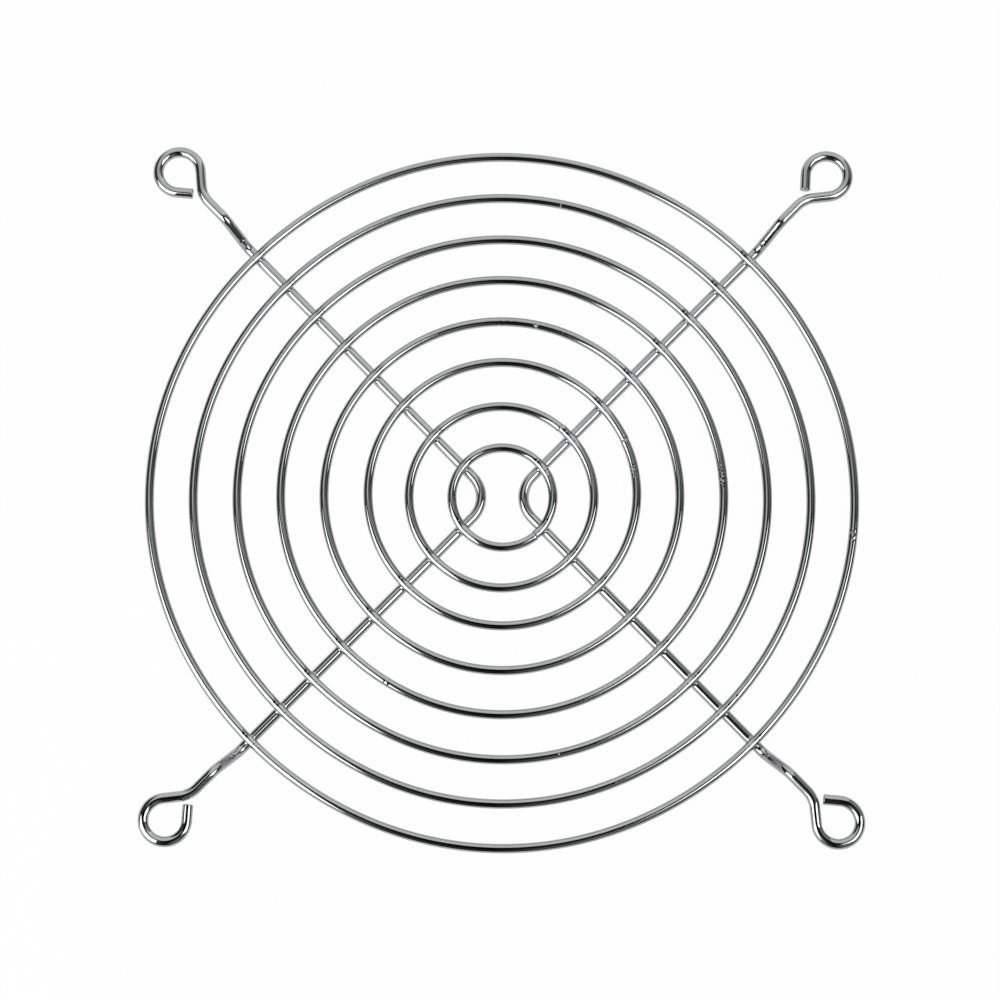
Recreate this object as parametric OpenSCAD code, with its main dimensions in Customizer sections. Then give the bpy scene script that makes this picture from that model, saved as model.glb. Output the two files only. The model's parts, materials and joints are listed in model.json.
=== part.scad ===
// Wire fan guard for a square axial fan.
//
// Concentric wire rings are spot-welded across two bent support wires. Each support wire
// is a "V" whose two arms run diagonally outwards, step up past the outer ring and curl
// into an open screw eye. The guard lies on its support wires with the fan side up:
// +Z is the fan axis, and the tops of the screw eyes meet the fan's frame.

/* [Mounting] */
// Distance between neighbouring screw eye centres
hole_spacing = 105; // [102:0.5:130]
// Clear hole inside each screw eye
eye_hole_d = 5.1; // [4.4:0.1:6]

/* [Support wires] */
// Diameter of the support wires
support_d = 1.7; // [1.3:0.05:2.1]
// Clear gap between the two support wires at the fan axis
centre_gap = 5.1; // [4:0.1:7]
// Centreline radius of the bend in the middle of each support wire
apex_bend_r = 4.8; // [3.5:0.1:6]

/* [Step between the rings and the screw eyes] */
// Height of the screw eyes above the straight arms
step_rise = 4.8; // [3.5:0.1:6]
// Slope of the step
step_angle = 45; // [35:1:60]
// Centreline radius of the step's two bends
step_bend_r = 2.6; // [1.8:0.1:3.5]
// Gap between the outer ring and the start of the step
step_gap = 0.5; // [0.2:0.1:1.5]

/* [Screw eyes] */
// Turn to the right before the curl, which brings the eye back in line with its arm
eye_turn = 39; // [32:1:46]
// Centreline radius of that turn
eye_turn_r = 4.5; // [3:0.1:5]
// Length of the curl round the screw hole, as an angle
eye_wrap = 260; // [230:1:265]
// Straight end left after the curl
eye_tail = 2.6; // [1:0.1:2.8]

/* [Rings] */
// Number of rings
ring_count = 8; // [3:1:8]
// Diameter of the ring wire
ring_d = 1.5; // [1.1:0.05:1.8]
// How far the outer ring stands out past the sides of the screw eyes
outer_ring_proud = 0.25; // [0:0.05:1]
// Centreline radius of the smallest ring
first_ring_r = 8.1; // [7:0.1:8.6]
// Number of narrower gaps, counted from the middle
inner_gaps = 2; // [0:1:7]
// Spacing of the rings at the narrower gaps
inner_pitch = 6.7; // [6:0.05:6.9]
// Spacing of the other rings, out to the last one inside the outer ring
outer_pitch = 6.95; // [6:0.05:8]
// How far each ring was welded off the fan axis, as [x, y] from the smallest ring outwards
ring_scatter = [[0, -0.27], [-0.14, -0.18], [0, 0.42], [-0.06, 0.22], [0, 0.16]];

/* [Spot welds] */
// Depth by which each ring is pressed into a support wire
weld_set_down = 0.2; // [0.05:0.05:0.4]
// Depth of the flats left by the welding electrodes
electrode_flat = 0.05; // [0.02:0.01:0.1]
// Length of those flats along the wire
electrode_l = 1.6; // [0.8:0.1:3]

/* [Butt joints of the rings] */
// Direction of each ring's butt joint from the fan axis, from the smallest ring outwards
butt_angle = [310, 50, 24, 79, 4, 146, 79, 354];
// Width of the seam
seam_w = 0.2; // [0.1:0.05:0.4]
// Depth of the seam
seam_depth = 0.06; // [0.02:0.01:0.12]

/* [Hidden] */
$fn = 64;
WIRE_COLOUR = [0.80, 0.81, 0.82];
// The wire is drawn slightly thinner round a bend, and each bend laps into the straights beside it
BEND_DRAW = 0.01;
BEND_LAP = 0.05;
// Side of the wire that a bend turns to, as a roll about the wire
LEFT = 0;
UP = 90;
RIGHT = 180;
DOWN = 270;

support_r = support_d / 2;
ring_z = support_d + ring_d / 2 - weld_set_down;
ring_top = ring_z + ring_d / 2;

// Centreline of one arm: it leaves the apex bend at arm_start and aims at its eye's centre
eye_xy = hole_spacing / 2;
apex_x = centre_gap / 2 + support_r + apex_bend_r;
apex_to_eye = norm([eye_xy - apex_x, eye_xy]);
arm_angle = atan2(eye_xy, eye_xy - apex_x) - asin(apex_bend_r / apex_to_eye);
arm_to_eye = sqrt(apex_to_eye ^ 2 - apex_bend_r ^ 2);
arm_start = [apex_x - apex_bend_r * sin(arm_angle), apex_bend_r * cos(arm_angle)];
arm_way = [cos(arm_angle), sin(arm_angle)];

// The outer ring lines up with the sides of the screw eyes
eye_r = eye_hole_d / 2 + support_r;
outer_ring_r = eye_xy + eye_r + support_r + outer_ring_proud - ring_d / 2;

// Step: its slope makes up the rise that the two bends leave
slope_l = (step_rise - 2 * step_bend_r * (1 - cos(step_angle))) / sin(step_angle);
step_run = 2 * step_bend_r * sin(step_angle) + slope_l * cos(step_angle);
step_start = along_arm(outer_ring_r + ring_d / 2 + step_gap, [0, 0]);

// Screw eye: the shank is as long as it takes to centre the curl on the arm's line
both_r = eye_turn_r + eye_r;
shank_l = (both_r * cos(eye_turn) - eye_turn_r) / sin(eye_turn);
turn_start = arm_to_eye - both_r * sin(eye_turn) - shank_l * cos(eye_turn);

// Where each of the four arms starts and where it points, seen from above
ARMS = [
    for (half = [0, 180])
        for (hand = [1, -1])
            [turned([arm_start.x, hand * arm_start.y], half), turned([arm_way.x, hand * arm_way.y], half)]
];

RINGS = [for (n = [1:ring_count]) str("ring_", n)];

function turned(v, angle) = [v.x * cos(angle) - v.y * sin(angle), v.x * sin(angle) + v.y * cos(angle)];

// Centreline radius of ring n, and its place on the support wires
function ring_r(n) =
    n == ring_count
        ? outer_ring_r
        : first_ring_r + inner_pitch * min(n - 1, inner_gaps) + outer_pitch * max(n - 1 - inner_gaps, 0);
function ring_at(n) = n > len(ring_scatter) ? [0, 0] : ring_scatter[n - 1];

// Distance along an arm at which it meets a circle round the given centre
function along_arm(radius, centre, start = arm_start, way = arm_way) =
    let (from = start - centre) sqrt((from * way) ^ 2 - from * from + radius ^ 2) - from * way;

// Where an arm crosses under ring n
function crossing(n, arm) = arm[0] + arm[1] * along_arm(ring_r(n), ring_at(n), arm[0], arm[1]);

// A straight run of support wire along +X. What follows it starts at its end.
module straight(length) {
    rotate([0, 90, 0])
        cylinder(h = length, d = support_d);
    translate([length, 0, 0])
        children();
}

// A bend of the support wire, away from +X and towards the given side
module bend(radius, angle, side) {
    lap = BEND_LAP / radius * 180 / PI;
    rotate([side, 0, 0])
        translate([0, radius, 0]) {
            rotate([0, 0, -90 - lap])
                rotate_extrude(angle = angle + 2 * lap)
                    translate([radius, 0])
                        circle(d = support_d - BEND_DRAW);
            rotate([0, 0, angle])
                translate([0, -radius, 0])
                    rotate([-side, 0, 0])
                        children();
        }
}

// One arm of a support wire, from the apex bend out to the cut end of its screw eye
module arm() {
    straight(step_start)
        bend(step_bend_r, step_angle, UP)
            straight(slope_l)
                bend(step_bend_r, step_angle, DOWN)
                    straight(turn_start - step_start - step_run)
                        bend(eye_turn_r, eye_turn, RIGHT)
                            straight(shank_l)
                                bend(eye_r, eye_wrap, LEFT)
                                    straight(eye_tail);
}

// The flat that an electrode presses into the underside of an arm, below a crossing
module electrode_mark(n, arm) {
    at = crossing(n, arm);
    translate([at.x, at.y, electrode_flat - support_d / 2])
        rotate([0, 0, atan2(arm[1].y, arm[1].x)])
            cube([electrode_l, support_d, support_d], center = true);
}

// The support wire on the +X side, bent but not yet welded
module bent_wire() {
    translate([apex_x, 0, support_r])
        rotate([0, 0, arm_angle])
            translate([0, apex_bend_r, 0]) {
                arm();
                rotate([0, 0, 180])
                    bend(apex_bend_r, 180 - 2 * arm_angle, LEFT)
                        arm();
            }
}

// A support wire turned to its side of the fan axis, with the seats and flats of its welds
module support_wire(half) {
    color(WIRE_COLOUR)
        difference() {
            rotate([0, 0, half])
                bent_wire();
            for (n = [1:ring_count]) {
                ring_wire(n);
                for (arm = half == 0 ? [ARMS[0], ARMS[1]] : [ARMS[2], ARMS[3]])
                    electrode_mark(n, arm);
            }
        }
}

// The plain wire of ring n, at its height above the support wires
module ring_wire(n) {
    translate([ring_at(n).x, ring_at(n).y, ring_z])
        rotate_extrude($fn = 240)
            translate([ring_r(n), 0])
                circle(d = ring_d);
}

// The seam round the wire where the two ends of ring n are butt-welded
module seam(n) {
    translate([ring_at(n).x, ring_at(n).y, ring_z])
        rotate([0, 0, butt_angle[n - 1]])
            translate([ring_r(n), 0, 0])
                rotate([90, 0, 0])
                    difference() {
                        cylinder(h = seam_w, d = 2 * ring_d, center = true);
                        cylinder(h = 2 * seam_w, d = ring_d - 2 * seam_depth, center = true);
                    }
}

// Ring n, with the electrode flats over its four welds
module ring(n) {
    color(WIRE_COLOUR)
        difference() {
            ring_wire(n);
            for (arm = ARMS) {
                at = crossing(n, arm);
                translate([at.x, at.y, ring_top - electrode_flat + ring_d / 2])
                    rotate([0, 0, atan2(at.y - ring_at(n).y, at.x - ring_at(n).x)])
                        cube([ring_d, electrode_l, ring_d], center = true);
            }
            seam(n);
        }
}

support_wire(180);  // support_wire_left
support_wire(0);  // support_wire_right
for (n = [1:ring_count])
    ring(n);
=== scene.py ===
"""Looks of the wire fan guard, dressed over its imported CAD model.

Each CAD node is one wire, and gets one finer mesh: the same wire swept along the same centreline,
with what welding, bending, cutting and plating leave on it. Lengths are in millimetres, and become
metres where a mesh, a lamp or the camera is made. Directions round the fan axis are in degrees
from +X.
"""

import json
import math

import bpy
import numpy as np
from mathutils import Matrix, Vector


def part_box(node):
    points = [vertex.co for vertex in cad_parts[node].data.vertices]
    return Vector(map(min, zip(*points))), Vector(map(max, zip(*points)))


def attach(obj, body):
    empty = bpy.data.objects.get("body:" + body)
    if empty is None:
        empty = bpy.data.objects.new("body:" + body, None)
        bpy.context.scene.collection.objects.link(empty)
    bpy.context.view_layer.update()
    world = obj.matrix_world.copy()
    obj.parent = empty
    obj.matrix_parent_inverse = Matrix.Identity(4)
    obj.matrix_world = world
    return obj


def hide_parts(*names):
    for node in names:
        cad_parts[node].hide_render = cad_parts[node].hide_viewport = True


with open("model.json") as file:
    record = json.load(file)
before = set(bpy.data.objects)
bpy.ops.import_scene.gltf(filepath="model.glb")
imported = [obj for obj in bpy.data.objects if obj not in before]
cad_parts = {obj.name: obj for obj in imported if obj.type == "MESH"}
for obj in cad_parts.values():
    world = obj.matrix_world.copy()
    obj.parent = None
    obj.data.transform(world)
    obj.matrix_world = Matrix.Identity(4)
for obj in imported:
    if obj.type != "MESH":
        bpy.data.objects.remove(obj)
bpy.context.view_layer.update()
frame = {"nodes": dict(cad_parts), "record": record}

MM = 0.001
UP = np.array([0.0, 0.0, 1.0])

# ---------------------------------------------------------------- driving sizes, as in the CAD source
SUPPORT_D = 1.7
CENTRE_GAP = 5.1
APEX_BEND_R = 4.8
STEP_RISE = 4.8
STEP_ANGLE = 45
STEP_BEND_R = 2.6
STEP_GAP = 0.5
EYE_TURN = 39
EYE_TURN_R = 4.5
EYE_WRAP = 260
EYE_TAIL = 2.6
ELECTRODE_FLAT = 0.05
ELECTRODE_L = 1.6
BUTT_ANGLE = [310, 50, 24, 79, 4, 146, 79, 354]
SEAM_W = 0.2

# Which way a bend turns, as a roll about the wire
BEND_LEFT, BEND_UP, BEND_RIGHT, BEND_DOWN = 0, 90, 180, 270
# The two support wires are one shape, turned about the fan axis
HALVES = {"support_wire_right": 0, "support_wire_left": 180}
# The two arms of a support wire mirror each other
HANDS = (1, -1)

# ---------------------------------------------------------------- mesh fineness
RING_SIDES = 36
SUPPORT_SIDES = 40
# Widest spacing of the sections, on a ring also as an angle round the fan axis
RING_SPACING = 0.8
RING_SPACING_ANGLE = 2.5
SUPPORT_SPACING = 0.3
# Spacing beside a small form, how far it reaches, and how fast the spacing grows from there on
FINE_SPACING = 0.08
FINE_REACH = 1.0
SPACING_GROWTH = 0.25

# ---------------------------------------------------------------- what welding leaves
# How far the outer ring stands out midway between its welds, and in at them. Smaller rings do so less.
RING_BULGE = 0.2
# Rounds that find where an arm crosses such a ring
CROSSING_ROUNDS = 3
# How far a ring dips at a weld, and how far to either side the dip reaches
RING_DIP = 0.12
RING_DIP_REACH = 1.25
# Length over which an electrode's flat runs out, and how softly its edge is rounded
FLAT_FADE = 0.5
FLAT_EDGE = 0.006
# Width of a weld's fillet, how far from the weld it can reach, and the rounds that shape it
FILLET = 0.38
WELD_REACH = 1.6
FILLET_ROUNDS = 4
# How much the welds differ in size, and how fast that swings from ring to ring and from arm to arm
WELD_SCATTER = 0.25
WELD_SWING_RING = 2.3
WELD_SWING_ARM = 4.1
# Uneven metal at a weld: its height, its size, and how far it spreads from the crease and the weld
SPATTER = 0.03
SPATTER_SIZE = 0.25
SPATTER_CREASE = 0.3
SPATTER_REACH = 1.0
# How far a weld's dull skin reaches
WELD_SKIN_REACH = 0.75

# ---------------------------------------------------------------- what joining and handling leave
# How far each ring's end past the butt joint stands out and up, and how deep its seam still shows
BUTTS = [
    {"out": -0.05, "up": 0.0, "seam": 0.03},
    {"out": -0.05, "up": 0.01, "seam": 0.02},
    {"out": 0.03, "up": 0.0, "seam": 0.03},
    {"out": 0.0, "up": 0.0, "seam": 0.01},
    {"out": 0.0, "up": 0.0, "seam": 0.0},
    {"out": 0.0, "up": 0.0, "seam": 0.005},
    {"out": 0.0, "up": 0.0, "seam": 0.0},
    {"out": 0.0, "up": 0.0, "seam": 0.0},
]
# Length over which that end comes back into line, and the ridge of metal on either side of the seam
BUTT_SPRING = 2.5
FLASH = 0.01
FLASH_AT = 2.2 * SEAM_W
# Specks and dents. The roll goes from the wire's inner side over its top, and the slope along the wire.
SPECKS = [
    {"ring": 8, "direction": 353.2, "roll": 103, "size": 0.36, "height": 0.02, "slope": 0.21},
    {"ring": 5, "direction": 239, "roll": 115, "size": 0.34, "height": 0.02, "slope": 0.26},
    {"ring": 4, "direction": 79, "roll": 65, "size": 0.3, "height": 0.02, "slope": -0.4},
    {"ring": 6, "direction": 282.2, "roll": 100, "size": 0.18, "height": 0.0, "slope": -0.24},
    {"ring": 7, "direction": 319, "roll": 95, "size": 0.2, "height": -0.04, "slope": 0.0},
    {"ring": 1, "direction": 26, "roll": 90, "size": 0.24, "height": 0.06, "slope": 0.0},
]
# Scuffed stretches, by the direction of their middle
SCUFFS = [
    {"ring": 5, "direction": 4.5, "length": 5.0, "depth": 0.015},
    {"ring": 3, "direction": 10.5, "length": 2.6, "depth": 0.015},
    {"ring": 4, "direction": 87, "length": 3.5, "depth": 0.018},
    {"ring": 4, "direction": 71, "length": 4.0, "depth": 0.012},
]
# Size of the unevenness in a scuff, share of its length over which it fades, and how dull it is
SCUFF_SIZE = 0.32
SCUFF_FADE = 1 / 1.8
SCUFF_DULLNESS = 0.5
# Places along a scuff that get a fine mesh, from one end to the other
SCUFF_PLACES = (-1, -0.5, 0, 0.5, 1)

# ---------------------------------------------------------------- what bending and cutting leave
# Round on the edge of a support wire's cut ends
CUT_ROUND = 0.14
# The bending tool's mark on each step, from the step's start: a ridge with a dent on either side
TOOL_MARK_AT = 2.95
TOOL_RIDGE = 0.045
TOOL_RIDGE_W = 0.22
TOOL_DENT = 0.012
TOOL_DENT_W = 0.3
TOOL_DENT_AT = 0.6
# How closely the ridge and the dents keep to the top of the wire
TOOL_RIDGE_HOLD = 0.5
TOOL_DENT_HOLD = 6
# How hard the tool pressed the two arms of each support wire
TOOL_PRESS = {"support_wire_right": (0.4, 1.0), "support_wire_left": (1.0, 0.6)}

# ---------------------------------------------------------------- unevenness
# Waves in unlike directions, which add up without a visible pattern
LUMP_WAVES = np.array([[1.0, 0.62, -0.41], [-0.53, 1.07, 0.38], [0.47, -0.35, 1.13], [0.81, 0.77, 0.9]])
# Rate of the first wave, how much faster each next one is, and how far it is shifted
LUMP_RATE = 2.1
LUMP_RATE_GROWTH = 0.7
LUMP_SHIFT = 1.7

# ---------------------------------------------------------------- chrome
CHROME_LIGHT = (0.47, 0.485, 0.485)
CHROME_DARK = (0.43, 0.445, 0.445)
WELD_TONE = (0.33, 0.33, 0.32)
WELD_TINT = 0.5
# Noise on the straightened wire: its scale along and across the wire, and its detail
HAZE = (0.35, 1.1, 3.0)
DRAWING_LINES = (0.25, 14.0, 2.0)
GRIT = (9.0, 9.0, 3.0)
# Values of the haze at which the chrome is darkest and lightest
HAZE_DARK = 0.3
HAZE_LIGHT = 0.7
# Roughness of clean chrome, and what haze and a weld add to it
CHROME_ROUGHNESS = 0.035
HAZE_ROUGHNESS = 0.05
WELD_ROUGHNESS = 0.08
# Depth and strength of the relief, and the shares of drawing lines, grit, and grit at a weld in it
RELIEF_DEPTH = 0.01
RELIEF_STRENGTH = 0.25
LINES_SHARE = 0.3
GRIT_SHARE = 0.015
WELD_GRIT_SHARE = 1.2

# ---------------------------------------------------------------- studio
FLOOR_W = 12000
PAPER = (0.8, 0.8, 0.8)
# Share of plain white in the floor as each kind of ray sees it. The rest is lit paper with the shadow.
FLOOR_GLOW = {"Is Camera Ray": 0.97, "Is Glossy Ray": 0.55, "Is Transmission Ray": 0.97}
# Brightness of the room, of its walls by direction, and how it changes with height above the horizon,
# which goes from 0 there to 1 straight up
ROOM_LEVEL = 1.8
WALLS = [(-180, 0.05), (-140, 0.48), (-115, 0.05), (-90, 0.01), (-65, 0.18), (-40, 0.11), (-20, 0.32),
         (0, 0.0), (25, 0.18), (50, 0.29), (70, 0.14), (110, 0.2), (130, 0.01), (155, 0.04), (180, 0.05)]
CEILING = [(0.0, 0.35), (0.17, 0.17), (0.34, 0.52), (0.5, 0.81), (0.64, 1.0), (0.77, 0.81), (0.87, 0.09),
           (0.94, 0.19), (0.985, 0.0), (1.0, 0.05)]
# Soft lights. Place and facing are angles round the fan axis and from straight up.
LIGHTS = [
    {"name": "left softbox", "place": (201, 55), "distance": 358, "facing": (242, 45.4), "roll": 7.9,
     "sides": (301, 325), "level": 2.9},
    {"name": "right softbox", "place": (339.4, 28.5), "distance": 507, "facing": (342.7, 79.8), "roll": 5,
     "sides": (471, 255), "level": 2.9},
    {"name": "back panel", "place": (80.4, 49), "distance": 339.4, "facing": (108.8, 77.9), "roll": -16,
     "sides": (813, 480), "level": 0.7},
    {"name": "overhead strip", "place": (93.8, 14), "distance": 488, "facing": (95.2, 9.3), "roll": 4.5,
     "sides": (66, 350), "level": 0.4},
]
CAMERA_SENSOR = 36.0
CAMERA_LENS = 117.96
CAMERA_PLACE = (-6.93, -104.74, 516.23)
CAMERA_AIM = (-0.39, -0.71, 2.25)
CAMERA_ROLL = 0.14


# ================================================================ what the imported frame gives

def ring_of(number, node):
    """Centre, centreline radius and wire radius of a ring from its CAD box, and its butt joint."""
    low, high = (np.array(corner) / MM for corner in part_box(node))
    wire_r = (high[2] - low[2]) / 2
    return {"number": number, "node": node, "centre": (low + high) / 2,
            "radius": (high[0] - low[0]) / 2 - wire_r, "wire_r": wire_r,
            "butt_angle": BUTT_ANGLE[number - 1]}


RING_NODES = sorted(node for node in frame["nodes"] if node.startswith("ring_"))
RINGS = [ring_of(number, node) for number, node in enumerate(RING_NODES, 1)]
OUTER_RING = RINGS[-1]

EYE_DIMS = frame["record"]["mounts"][0]["dims"]
HALF_SPACING = EYE_DIMS["spacing_x_mm"] / 2
SUPPORT_R = SUPPORT_D / 2
EYE_R = EYE_DIMS["hole_r_mm"] + SUPPORT_R


# ================================================================ routes of the wires

def along_arm(radius, centre, start, way):
    """Distance along an arm at which it meets a circle, seen from above."""
    reach = start - centre
    across = reach @ way
    return math.sqrt(across ** 2 - reach @ reach + radius ** 2) - across


def rotated(vectors, turn):
    """Vectors turned about the fan axis."""
    cosine, sine = math.cos(math.radians(turn)), math.sin(math.radians(turn))
    return vectors @ np.array([[cosine, sine, 0], [-sine, cosine, 0], [0, 0, 1]])


def mirrored(seen, hand, height):
    """A place or way on the first arm, seen from above, as it is on either arm at some height."""
    return np.array([seen[0], hand * seen[1], height])


def run(length):
    """A straight run of wire."""
    return {"length": length}


def bend(radius, angle, roll):
    """A bend of the wire, to the side that the roll names."""
    return {"length": radius * math.radians(angle), "radius": radius, "roll": math.radians(roll)}


def arm_layout():
    """Where the first arm of the right support wire starts and points, and its runs and bends."""
    apex_x = CENTRE_GAP / 2 + SUPPORT_R + APEX_BEND_R
    reach = math.hypot(HALF_SPACING - apex_x, HALF_SPACING)
    angle = math.atan2(HALF_SPACING, HALF_SPACING - apex_x) - math.asin(APEX_BEND_R / reach)
    start = np.array([apex_x - APEX_BEND_R * math.sin(angle), APEX_BEND_R * math.cos(angle)])
    way = np.array([math.cos(angle), math.sin(angle)])

    step = math.radians(STEP_ANGLE)
    slope = (STEP_RISE - 2 * STEP_BEND_R * (1 - math.cos(step))) / math.sin(step)
    step_run = 2 * STEP_BEND_R * math.sin(step) + slope * math.cos(step)
    step_start = along_arm(OUTER_RING["radius"] + OUTER_RING["wire_r"] + STEP_GAP, np.zeros(2), start, way)

    turn = math.radians(EYE_TURN)
    both_r = EYE_TURN_R + EYE_R
    shank = (both_r * math.cos(turn) - EYE_TURN_R) / math.sin(turn)
    turn_start = (math.sqrt(reach ** 2 - APEX_BEND_R ** 2)
                  - both_r * math.sin(turn) - shank * math.cos(turn))
    route = [
        run(step_start),
        bend(STEP_BEND_R, STEP_ANGLE, BEND_UP),
        run(slope),
        bend(STEP_BEND_R, STEP_ANGLE, BEND_DOWN),
        run(turn_start - step_start - step_run),
        bend(EYE_TURN_R, EYE_TURN, BEND_RIGHT),
        run(shank),
        bend(EYE_R, EYE_WRAP, BEND_LEFT),
        run(EYE_TAIL),
    ]
    return {"start": start, "way": way, "apex_turn": 180 - 2 * math.degrees(angle), "route": route,
            "length": sum(part["length"] for part in route), "step_start": step_start}


ARM = arm_layout()


def straight_arms():
    """Start and way of the straight run of each of the four arms, seen from above."""
    return [{"half": half, "hand": hand,
             "start": rotated(mirrored(ARM["start"], hand, 0), half)[:2],
             "way": rotated(mirrored(ARM["way"], hand, 0), half)[:2]}
            for half in HALVES.values() for hand in HANDS]


ARMS = straight_arms()


def ring_radius(ring, angle):
    """Centreline radius of a ring in a direction given in radians, drawn in at the four arms."""
    share = ring["radius"] / OUTER_RING["radius"]
    return ring["radius"] + RING_BULGE * share ** 2 * np.cos(4 * angle)


def seen_from_centre(ring, at):
    """Direction of a place from a ring's centre, in radians."""
    dx, dy = at - ring["centre"][:2]
    return math.atan2(dy, dx)


def crossing(ring, arm):
    """Where an arm crosses under a ring, seen from above, closed in on as the ring isn't quite round."""
    radius = ring["radius"]
    for _ in range(CROSSING_ROUNDS):
        at = arm["start"] + arm["way"] * along_arm(radius, ring["centre"][:2], arm["start"], arm["way"])
        radius = ring_radius(ring, seen_from_centre(ring, at))
    return at


def all_welds():
    """Every crossing of a ring and an arm: where the wires meet, and how large the weld is."""
    welds = []
    for ring_place, ring in enumerate(RINGS):
        for arm_place, arm in enumerate(ARMS):
            swing = math.sin(WELD_SWING_RING * ring_place + WELD_SWING_ARM * arm_place)
            welds.append({"ring": ring, "arm": arm, "at": np.array([*crossing(ring, arm), SUPPORT_D]),
                          "size": 1 + WELD_SCATTER * swing})
    return welds


WELDS = all_welds()


# ================================================================ centrelines

def follow(route, start, heading, stations):
    """Points along a route of runs and bends, with the wire's way and its own up at each."""
    here, ahead, up = np.array(start, float), np.array(heading, float), UP.copy()
    points, ways, ups = [], [], []
    done = 0.0
    for part in route:
        last = part is route[-1]
        inside = (stations >= done) & ((stations < done + part["length"]) | last)
        at = np.append(stations[inside] - done, part["length"])
        if "radius" in part:
            side = np.cross(up, ahead) * math.cos(part["roll"]) + up * math.sin(part["roll"])
            axis = np.cross(ahead, side)
            turn = (at / part["radius"])[:, None]
            point = here + part["radius"] * (ahead * np.sin(turn) + side * (1 - np.cos(turn)))
            way = ahead * np.cos(turn) + side * np.sin(turn)
            new_side = side * np.cos(turn) - ahead * np.sin(turn)
            top = new_side * (up @ side) + axis * (up @ axis)
        else:
            point = here + ahead * at[:, None]
            way = np.repeat(ahead[None], len(at), 0)
            top = np.repeat(up[None], len(at), 0)
        points.append(point[:-1])
        ways.append(way[:-1])
        ups.append(top[:-1])
        here, ahead, up = point[-1], way[-1], top[-1]
        done += part["length"]
    return np.concatenate(points), np.concatenate(ways), np.concatenate(ups)


def spaced(length, features, widest):
    """Distances from 0 to length, close together near the features and wider elsewhere."""
    places = [0.0]
    while places[-1] < length:
        gap = min((abs(places[-1] - feature) for feature in features), default=length)
        spacing = FINE_SPACING + SPACING_GROWTH * max(gap - FINE_REACH, 0)
        places.append(places[-1] + min(spacing, widest))
    return np.array(places) * length / places[-1]


def arm_centreline(arm):
    """Centreline of an arm from the apex bend to its cut end, before its turn about the fan axis."""
    crossings = [float(np.linalg.norm(crossing(ring, arm) - arm["start"])) for ring in RINGS]
    features = crossings + [ARM["step_start"] + TOOL_MARK_AT, ARM["length"]]
    stations = spaced(ARM["length"], features, SUPPORT_SPACING)
    start = mirrored(ARM["start"], arm["hand"], SUPPORT_R)
    heading = mirrored(ARM["way"], arm["hand"], 0)
    points, ways, ups = follow(ARM["route"], start, heading, stations)
    return {"stations": stations, "points": points, "ways": ways, "ups": ups, "crossings": crossings}


def support_centreline(half):
    """Centreline of a support wire, in along one arm and out along the other, with its welds and steps."""
    second, first = (arm_centreline(arm) for arm in ARMS if arm["half"] == half)
    apex = bend(APEX_BEND_R, ARM["apex_turn"], BEND_RIGHT)
    apex_stations = spaced(apex["length"], [], SUPPORT_SPACING)[1:-1]
    joined = [
        (first["points"][::-1], -first["ways"][::-1], first["ups"][::-1]),
        follow([apex], first["points"][0], -first["ways"][0], apex_stations),
        (second["points"], second["ways"], second["ups"]),
    ]
    points, ways, ups = (rotated(np.concatenate(rows), half) for rows in zip(*joined))
    before_apex = ARM["length"]
    past_apex = ARM["length"] + apex["length"]
    distance = np.concatenate([before_apex - first["stations"][::-1], before_apex + apex_stations,
                               past_apex + second["stations"]])
    crossings = ([before_apex - at for at in first["crossings"]]
                 + [past_apex + at for at in second["crossings"]])
    steps = [before_apex - ARM["step_start"], past_apex + ARM["step_start"]]
    return {"points": points, "ways": ways, "ups": ups, "distance": distance,
            "crossings": crossings, "steps": steps}


def past_butt(ring, direction):
    """Distance along a ring from its butt joint to a direction."""
    return math.radians(direction - ring["butt_angle"]) % (2 * math.pi) * ring["radius"]


def ring_centreline(ring):
    """Centreline of a ring from its butt joint all the way round, and where the arms cross it."""
    length = 2 * math.pi * ring["radius"]
    crossings = [past_butt(ring, math.degrees(seen_from_centre(ring, crossing(ring, arm)))) for arm in ARMS]
    specks = [past_butt(ring, speck["direction"]) for speck in SPECKS if speck["ring"] == ring["number"]]
    scuffs = [past_butt(ring, scuff["direction"]) + share * scuff["length"] / 2
              for scuff in SCUFFS if scuff["ring"] == ring["number"]
              for share in SCUFF_PLACES]
    widest = min(RING_SPACING, ring["radius"] * math.radians(RING_SPACING_ANGLE))
    distance = spaced(length, crossings + specks + scuffs + [0.0, length], widest)
    angle = math.radians(ring["butt_angle"]) + distance / ring["radius"]
    outward = np.stack([np.cos(angle), np.sin(angle), 0 * angle], 1)
    round_axis = np.stack([-np.sin(angle), np.cos(angle), 0 * angle], 1)
    radius = ring_radius(ring, angle)[:, None]
    ways = radius * round_axis + np.gradient(radius, angle, axis=0) * outward
    ways /= np.linalg.norm(ways, axis=1)[:, None]
    return {"points": ring["centre"] + radius * outward, "ways": ways,
            "ups": np.repeat(UP[None], len(angle), 0), "distance": distance, "crossings": crossings}


# ================================================================ forms on a wire's surface

def bump(distance, reach):
    """1 at distance 0, fading smoothly to 0 over a few reaches."""
    return np.exp(-(distance / reach) ** 2)


def nearest(distance, places):
    """How far each point along the wire is from the nearest of some places."""
    return np.abs(distance[:, None] - np.array(places)[None]).min(1)


def lumps(points, size):
    """Smooth unevenness between -1 and 1, with features of about that size."""
    total = np.zeros(points.shape[:-1])
    for number, wave in enumerate(LUMP_WAVES):
        rate = LUMP_RATE + LUMP_RATE_GROWTH * number
        total += np.sin(points @ wave * rate / size + LUMP_SHIFT * number)
    return total / len(LUMP_WAVES)


def softly_below(height, limit):
    """The lower of the two, with the edge between them slightly rounded."""
    return -FLAT_EDGE * np.logaddexp(-height / FLAT_EDGE, -limit / FLAT_EDGE)


def section_angles(sides):
    """Angles of the vertices round a section."""
    return np.arange(sides) * 2 * math.pi / sides


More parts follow.
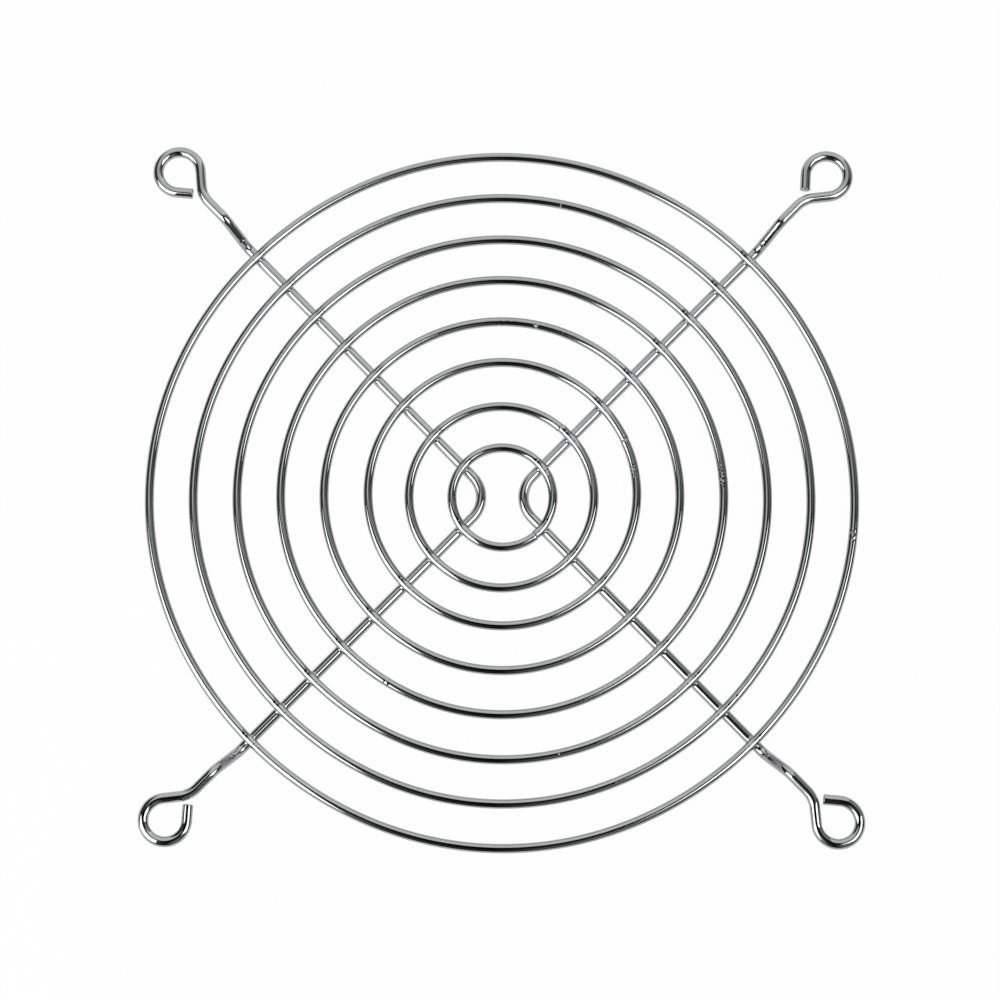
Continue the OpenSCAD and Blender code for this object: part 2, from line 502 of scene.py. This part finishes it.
def sections(line, radius, sides):
    """Round sections along a centreline. Also gives each vertex's outward direction."""
    angle = section_angles(sides)
    left = np.cross(line["ups"], line["ways"])
    outward = (np.cos(angle)[None, :, None] * left[:, None]
               + np.sin(angle)[None, :, None] * line["ups"][:, None])
    radius = np.broadcast_to(radius, (len(line["points"]), sides))
    return line["points"][:, None] + outward * radius[..., None], outward


def straightened(line, radius, sides):
    """Each vertex's place on the wire as if it were straight: along it, and in its section."""
    angle = section_angles(sides)
    shape = (len(line["distance"]), sides)
    along = np.broadcast_to(line["distance"][:, None], shape)
    return np.stack([along, np.broadcast_to(radius * np.cos(angle), shape),
                     np.broadcast_to(radius * np.sin(angle), shape)], -1)


def press_flats(surface, line, direction, radius):
    """Presses the flats of the electrodes into one side of a wire at its crossings."""
    past_flat = np.maximum(nearest(line["distance"], line["crossings"]) - ELECTRODE_L / 2, 0)
    limit = radius - ELECTRODE_FLAT * bump(past_flat, FLAT_FADE)
    height = ((surface - line["points"][:, None]) * direction[:, None]).sum(-1)
    lower = softly_below(height, np.broadcast_to(limit[:, None], height.shape))
    return surface + (lower - height)[..., None] * direction[:, None]


# ================================================================ welds

def outside_arm(arm):
    """A function of points: their distance outside an arm's straight run, and the way away from it."""
    start = np.array([*arm["start"], SUPPORT_R])
    way = np.array([*arm["way"], 0.0])

    def measure(points):
        reach = points - start
        away = reach - (reach @ way)[:, None] * way
        size = np.linalg.norm(away, axis=1)
        return size - SUPPORT_R, away / size[:, None]

    return measure


def outside_ring(ring, at):
    """A function of points: their distance outside a ring that dips at one weld, and the way away."""
    def measure(points):
        reach = points[:, :2] - ring["centre"][:2]
        from_axis = np.linalg.norm(reach, axis=1)
        across = from_axis - ring_radius(ring, np.arctan2(reach[:, 1], reach[:, 0]))
        along = np.linalg.norm(points[:, :2] - at[:2], axis=1)
        above = points[:, 2] - ring["centre"][2] + RING_DIP * bump(along, RING_DIP_REACH)
        size = np.hypot(across, above)
        away = np.concatenate([reach / from_axis[:, None] * across[:, None], above[:, None]], 1)
        return size - ring["wire_r"], away / size[:, None]

    return measure


def fuse(surface, weld, own, other):
    """Draws one wire's surface up to the other's at a weld, in a small fillet with uneven edges."""
    flat = surface.reshape(-1, 3)
    close = np.where(np.linalg.norm(flat - weld["at"], axis=1) < WELD_REACH)[0]
    close = close[other(flat[close])[0] >= 0]
    points = flat[close]
    size = FILLET * weld["size"]
    for _ in range(FILLET_ROUNDS):
        # A smooth minimum of the two distances is 0 on the fillet's surface
        near, near_way = own(points)
        far, far_way = other(points)
        share = np.clip(0.5 + 0.5 * (far - near) / size, 0, 1)
        level = far * (1 - share) + near * share - size * share * (1 - share)
        way = far_way * (1 - share)[:, None] + near_way * share[:, None]
        way /= np.linalg.norm(way, axis=1)[:, None]
        points = points - level[:, None] * way
    from_crease = np.abs(np.maximum(own(points)[0], other(points)[0]))
    uneven = SPATTER * weld["size"] * bump(from_crease, SPATTER_CREASE)
    in_weld = bump(np.linalg.norm(points - weld["at"], axis=1), SPATTER_REACH)
    points += (uneven * in_weld * lumps(points, SPATTER_SIZE))[:, None] * way
    flat[close] = points
    return flat.reshape(surface.shape)


def weld_skin(surface, welds):
    """1 in the middle of the welds, fading to 0 away from them."""
    mask = np.zeros(surface.shape[:2])
    for weld in welds:
        gap = np.linalg.norm(surface - weld["at"], axis=-1)
        mask = np.maximum(mask, bump(gap, WELD_SKIN_REACH))
    return mask


# ================================================================ meshes

def tube_faces(rows, sides, closed):
    """Four-sided faces between neighbouring rows of vertices."""
    row = np.arange(rows if closed else rows - 1)[:, None]
    side = np.arange(sides)[None]
    next_row, next_side = (row + 1) % rows, (side + 1) % sides
    corners = (row * sides + side, next_row * sides + side, next_row * sides + next_side,
               row * sides + next_side)
    return np.stack([corner.ravel() for corner in corners], 1).tolist()


def end_faces(rows, sides, first, last):
    """Three-sided faces that fan out from the middle vertex of each end."""
    tail = (rows - 1) * sides
    faces = []
    for side in range(sides):
        next_side = (side + 1) % sides
        faces.append([first, side, next_side])
        faces.append([last, tail + next_side, tail + side])
    return faces


def mesh_piece(name, surface, closed, attributes):
    """A mesh object from rows of sections. An open wire gets flat ends."""
    rows, sides, _ = surface.shape
    vertices = surface.reshape(-1, 3)
    faces = tube_faces(rows, sides, closed)
    if not closed:
        faces += end_faces(rows, sides, len(vertices), len(vertices) + 1)
        vertices = np.concatenate([vertices, surface[[0, -1]].mean(1)])
        attributes = {key: np.concatenate([values.reshape(rows * sides, -1),
                                           values[[0, -1]].mean(1).reshape(2, -1)])
                      for key, values in attributes.items()}
    mesh = bpy.data.meshes.new(name)
    mesh.from_pydata((vertices * MM).tolist(), [], faces)
    mesh.polygons.foreach_set("use_smooth", [True] * len(mesh.polygons))
    for key, values in attributes.items():
        values = values.reshape(len(vertices), -1)
        kind, field = ("FLOAT_VECTOR", "vector") if values.shape[1] == 3 else ("FLOAT", "value")
        layer = mesh.attributes.new(key, kind, "POINT")
        layer.data.foreach_set(field, values.astype(np.float32).ravel())
    mesh.update()
    piece = bpy.data.objects.new(name, mesh)
    bpy.context.scene.collection.objects.link(piece)
    return piece


# ================================================================ rings

def outward_at(direction):
    """Unit vector from the fan axis in a direction."""
    return rotated(np.array([1.0, 0.0, 0.0]), direction)


def on_ring(ring, direction):
    """Place on a ring's centreline in a direction."""
    return ring["centre"] + ring_radius(ring, math.radians(direction)) * outward_at(direction)


def specks_on(ring, surface):
    """Height that the specks of a ring add to its surface. Each is flat or sloped, with a soft edge."""
    height = np.zeros(surface.shape[:2])
    for speck in SPECKS:
        if speck["ring"] == ring["number"]:
            outward = outward_at(speck["direction"])
            roll = math.radians(speck["roll"])
            place = (on_ring(ring, speck["direction"])
                     + ring["wire_r"] * (UP * math.sin(roll) - outward * math.cos(roll)))
            reach = surface - place
            along = reach @ np.cross(UP, outward)
            height += ((speck["height"] + speck["slope"] * along)
                       * bump((reach ** 2).sum(-1), speck["size"] ** 2))
    return height


def scuffs_on(ring, surface):
    """Share of scuffing, and the unevenness that it leaves, all over a ring's surface."""
    share = np.zeros(surface.shape[:2])
    depth = np.zeros(surface.shape[:2])
    for scuff in SCUFFS:
        if scuff["ring"] == ring["number"]:
            from_middle = np.linalg.norm(surface - on_ring(ring, scuff["direction"]), axis=-1)
            here = bump(from_middle, SCUFF_FADE * scuff["length"])
            share = np.maximum(share, here)
            depth = np.maximum(depth, scuff["depth"] * here)
    return share, depth * lumps(surface, SCUFF_SIZE)


def joined_ring(ring):
    """A ring's centreline as its butt joint and the electrodes left it, and its wire's radius along it."""
    line = ring_centreline(ring)
    butt = BUTTS[ring["number"] - 1]
    distance, length = line["distance"], line["distance"][-1]
    from_butt = np.minimum(distance, length - distance)
    ahead_of_butt = np.where(distance < length / 2, 1.0, -1.0)
    stray = (ahead_of_butt * np.exp(-from_butt / BUTT_SPRING))[:, None]
    out_of_ring = np.cross(line["ways"], line["ups"])
    dip = (RING_DIP * bump(nearest(distance, line["crossings"]), RING_DIP_REACH))[:, None]
    line["points"] = line["points"] + stray * (butt["out"] * out_of_ring + butt["up"] * UP) - dip * UP
    radius = (ring["wire_r"] - butt["seam"] * bump(from_butt, SEAM_W / 2)
              + FLASH * bump(from_butt - FLASH_AT, SEAM_W))
    return line, radius[:, None]


def ring_piece(ring):
    """A ring: butt joint, specks and scuffs, the electrodes' flats, and welds."""
    line, radius = joined_ring(ring)
    surface, outward = sections(line, radius, RING_SIDES)
    scuffed, uneven = scuffs_on(ring, surface)
    surface = surface + outward * (specks_on(ring, surface) + uneven)[..., None]
    surface = press_flats(surface, line, line["ups"], ring["wire_r"])
    welds = [weld for weld in WELDS if weld["ring"] is ring]
    for weld in welds:
        surface = fuse(surface, weld, outside_ring(ring, weld["at"]), outside_arm(weld["arm"]))
    piece = mesh_piece(f"ring_wire_{ring['number']}", surface, True, {
        "wire": straightened(line, ring["wire_r"], RING_SIDES),
        "weld": np.maximum(weld_skin(surface, welds), SCUFF_DULLNESS * scuffed),
    })
    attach(piece, "root")
    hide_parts(ring["node"])
    return piece


# ================================================================ support wires

def tool_marks(line, outward, pressures):
    """Height that the bending tool's marks on both steps add to a support wire's surface."""
    upper = np.clip((outward * line["ups"][:, None]).sum(-1), 0, 1)
    height = np.zeros(upper.shape)
    for step, side, pressure in zip(line["steps"], (-1, 1), pressures):
        to_mark = np.abs(line["distance"] - (step + side * TOOL_MARK_AT))[:, None]
        ridge = TOOL_RIDGE * bump(to_mark, TOOL_RIDGE_W / 2)
        dents = TOOL_DENT * bump(to_mark - TOOL_DENT_AT, TOOL_DENT_W / 2)
        height += pressure * (ridge * upper ** TOOL_RIDGE_HOLD - dents * upper ** TOOL_DENT_HOLD)
    return height


def round_cut_ends(surface, line):
    """Draws in the last sections at both ends, where the shears rounded the edge of the cut."""
    centre = line["points"][:, None]
    from_end = np.minimum(line["distance"], line["distance"][-1] - line["distance"])
    drawn_in = CUT_ROUND - np.sqrt(CUT_ROUND ** 2 - np.maximum(CUT_ROUND - from_end, 0) ** 2)
    share = 1 - drawn_in / SUPPORT_R
    return centre + (surface - centre) * share[:, None, None]


def support_piece(node, half):
    """A support wire: the flats under its welds, the bending tool's marks, its cut ends, and welds."""
    line = support_centreline(half)
    surface, outward = sections(line, SUPPORT_R, SUPPORT_SIDES)
    surface = press_flats(surface, line, -line["ups"], SUPPORT_R)
    surface = surface + outward * tool_marks(line, outward, TOOL_PRESS[node])[..., None]
    surface = round_cut_ends(surface, line)
    welds = [weld for weld in WELDS if weld["arm"]["half"] == half]
    for weld in welds:
        surface = fuse(surface, weld, outside_arm(weld["arm"]), outside_ring(weld["ring"], weld["at"]))
    piece = mesh_piece(node.replace("support", "bent"), surface, False, {
        "wire": straightened(line, SUPPORT_R, SUPPORT_SIDES),
        "weld": weld_skin(surface, welds),
    })
    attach(piece, "root")
    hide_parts(node)
    return piece


# ================================================================ shader nodes

def feed(tree, value, socket):
    """Gives an input a plain value, or links another node's output to it."""
    if isinstance(value, bpy.types.NodeSocket):
        tree.links.new(value, socket)
    else:
        socket.default_value = value


def maths(tree, operation, *values):
    """One sum of values, each a plain number or another node's output."""
    node = tree.nodes.new("ShaderNodeMath")
    node.operation = operation
    for value, socket in zip(values, node.inputs):
        feed(tree, value, socket)
    return node.outputs["Value"]


def ramp(tree, value, stops):
    """A value between 0 and 1 turned into a colour."""
    node = tree.nodes.new("ShaderNodeValToRGB")
    elements = node.color_ramp.elements
    while len(elements) < len(stops):
        elements.new(1.0)
    for element, (position, colour) in zip(elements, stops):
        element.position = position
        element.color = (*colour, 1)
    feed(tree, value, node.inputs["Fac"])
    return node.outputs["Color"]


def grey_ramp(tree, value, stops):
    """A value between 0 and 1 turned into a brightness."""
    return ramp(tree, value, [(position, (level, level, level)) for position, level in stops])


def mixed(tree, blend, factor, first, second):
    """Two colours mixed or multiplied."""
    node = tree.nodes.new("ShaderNodeMix")
    node.data_type = "RGBA"
    node.blend_type = blend
    feed(tree, factor, node.inputs["Factor"])
    feed(tree, first, node.inputs["A"])
    feed(tree, second, node.inputs["B"])
    return node.outputs["Result"]


def attribute(tree, name, output):
    """A value kept on the mesh."""
    node = tree.nodes.new("ShaderNodeAttribute")
    node.attribute_name = name
    return node.outputs[output]


def noise(tree, place, scale_along, scale_across, detail):
    """Noise on the straightened wire, stretched along it."""
    mapping = tree.nodes.new("ShaderNodeMapping")
    feed(tree, place, mapping.inputs["Vector"])
    feed(tree, (scale_along, scale_across, scale_across), mapping.inputs["Scale"])
    texture = tree.nodes.new("ShaderNodeTexNoise")
    feed(tree, mapping.outputs["Vector"], texture.inputs["Vector"])
    feed(tree, 1.0, texture.inputs["Scale"])
    feed(tree, detail, texture.inputs["Detail"])
    return texture.outputs["Fac"]


# ================================================================ material

def chrome(name):
    """Bright chrome over drawn steel wire: fine drawing lines, faint haze, and rough dull weld creases."""
    material = bpy.data.materials.new(name)
    material.use_nodes = True
    tree = material.node_tree
    shader = tree.nodes["Principled BSDF"]
    wire = attribute(tree, "wire", "Vector")
    weld = attribute(tree, "weld", "Fac")
    haze = noise(tree, wire, *HAZE)

    plating = ramp(tree, haze, [(HAZE_DARK, CHROME_DARK), (HAZE_LIGHT, CHROME_LIGHT)])
    tone = mixed(tree, "MIX", maths(tree, "MULTIPLY", weld, WELD_TINT), plating, (*WELD_TONE, 1))
    feed(tree, tone, shader.inputs["Base Color"])
    feed(tree, 1.0, shader.inputs["Metallic"])

    roughness = maths(tree, "MULTIPLY_ADD", haze, HAZE_ROUGHNESS, CHROME_ROUGHNESS)
    roughness = maths(tree, "MULTIPLY_ADD", weld, WELD_ROUGHNESS, roughness)
    feed(tree, roughness, shader.inputs["Roughness"])

    grit_share = maths(tree, "MULTIPLY_ADD", weld, WELD_GRIT_SHARE, GRIT_SHARE)
    grit = maths(tree, "MULTIPLY", noise(tree, wire, *GRIT), grit_share)
    height = maths(tree, "MULTIPLY_ADD", noise(tree, wire, *DRAWING_LINES), LINES_SHARE, grit)
    relief = tree.nodes.new("ShaderNodeBump")
    feed(tree, height, relief.inputs["Height"])
    feed(tree, RELIEF_STRENGTH, relief.inputs["Strength"])
    feed(tree, RELIEF_DEPTH * MM, relief.inputs["Distance"])
    feed(tree, relief.outputs["Normal"], shader.inputs["Normal"])
    return material


# ================================================================ stage, lights and camera

def pale_paper():
    """Paper that shows nearly white to the camera and in the chrome, and still takes the shadow."""
    material = bpy.data.materials.new("pale floor")
    material.use_nodes = True
    tree = material.node_tree
    tree.nodes.remove(tree.nodes["Principled BSDF"])
    paper = tree.nodes.new("ShaderNodeBsdfDiffuse")
    feed(tree, (*PAPER, 1), paper.inputs["Color"])
    glow = tree.nodes.new("ShaderNodeEmission")
    feed(tree, 1.0, glow.inputs["Strength"])
    path = tree.nodes.new("ShaderNodeLightPath")
    share = 0.0
    for ray, amount in FLOOR_GLOW.items():
        share = maths(tree, "MULTIPLY_ADD", path.outputs[ray], amount, share)
    mix = tree.nodes.new("ShaderNodeMixShader")
    feed(tree, share, mix.inputs["Fac"])
    feed(tree, paper.outputs["BSDF"], mix.inputs[1])
    feed(tree, glow.outputs["Emission"], mix.inputs[2])
    feed(tree, mix.outputs["Shader"], tree.nodes["Material Output"].inputs["Surface"])
    return material


def studio_floor():
    """A plain pale floor under the guard."""
    half = FLOOR_W / 2 * MM
    mesh = bpy.data.meshes.new("floor")
    mesh.from_pydata([(-half, -half, 0), (half, -half, 0), (half, half, 0), (-half, half, 0)], [],
                     [(0, 1, 2, 3)])
    floor = bpy.data.objects.new("floor", mesh)
    bpy.context.scene.collection.objects.link(floor)
    mesh.materials.append(pale_paper())


def studio_world():
    """The dim room round the guard, as bright in each direction as its walls and its ceiling say."""
    world = bpy.data.worlds.new("studio")
    world.use_nodes = True
    tree = world.node_tree
    way = tree.nodes.new("ShaderNodeTexCoord")
    split = tree.nodes.new("ShaderNodeSeparateXYZ")
    feed(tree, way.outputs["Generated"], split.inputs[0])
    # From half a turn either way to a share of the whole turn
    angle = maths(tree, "ARCTAN2", split.outputs["Y"], split.outputs["X"])
    share_of_turn = maths(tree, "MULTIPLY_ADD", angle, 0.5 / math.pi, 0.5)
    walls = grey_ramp(tree, share_of_turn, [(direction / 360 + 0.5, level) for direction, level in WALLS])
    ceiling = grey_ramp(tree, split.outputs["Z"], CEILING)
    background = tree.nodes["Background"]
    feed(tree, mixed(tree, "MULTIPLY", 1.0, walls, ceiling), background.inputs["Color"])
    feed(tree, ROOM_LEVEL, background.inputs["Strength"])
    bpy.context.scene.world = world


def pointing(azimuth, zenith):
    """Unit vector from its angle round the fan axis and its angle from straight up."""
    around, lean = math.radians(azimuth), math.radians(zenith)
    return Vector((math.sin(lean) * math.cos(around), math.sin(lean) * math.sin(around), math.cos(lean)))


def softbox(name, place, distance, facing, roll, sides, level):
    """A rectangular soft light. Its level is the brightness that a mirror shows it with."""
    data = bpy.data.lights.new(name, "AREA")
    data.shape = "RECTANGLE"
    data.size, data.size_y = sides[0] * MM, sides[1] * MM
    data.energy = level * math.pi * data.size * data.size_y
    azimuth, zenith = (math.radians(angle) for angle in facing)
    turn = (Matrix.Rotation(azimuth, 3, "Z") @ Matrix.Rotation(zenith, 3, "Y")
            @ Matrix.Rotation(math.radians(roll), 3, "Z"))
    lamp = bpy.data.objects.new(name, data)
    lamp.matrix_world = Matrix.Translation(pointing(*place) * distance * MM) @ turn.to_4x4()
    lamp.visible_camera = False
    bpy.context.scene.collection.objects.link(lamp)


def studio_camera():
    """The camera stands in front of the guard and looks steeply down on it."""
    data = bpy.data.cameras.new("camera")
    data.sensor_width = CAMERA_SENSOR
    data.lens = CAMERA_LENS
    place, aim = Vector(CAMERA_PLACE), Vector(CAMERA_AIM)
    ahead = (aim - place).normalized()
    right = ahead.cross(Vector((0, 1, 0))).normalized()
    turned = (Matrix((right, right.cross(ahead), -ahead)).transposed()
              @ Matrix.Rotation(math.radians(CAMERA_ROLL), 3, "Z"))
    camera = bpy.data.objects.new("camera", data)
    camera.matrix_world = Matrix.Translation(place * MM) @ turned.to_4x4()
    bpy.context.scene.collection.objects.link(camera)
    bpy.context.scene.camera = camera


RING_CHROME = chrome("ring chrome")
SUPPORT_CHROME = chrome("support chrome")
for each_ring in RINGS:
    ring_piece(each_ring).data.materials.append(RING_CHROME)
for support_node, turned_by in HALVES.items():
    support_piece(support_node, turned_by).data.materials.append(SUPPORT_CHROME)

studio_camera()
studio_floor()
studio_world()
for light in LIGHTS:
    softbox(**light)

bpy.context.scene.view_settings.view_transform = "Standard"
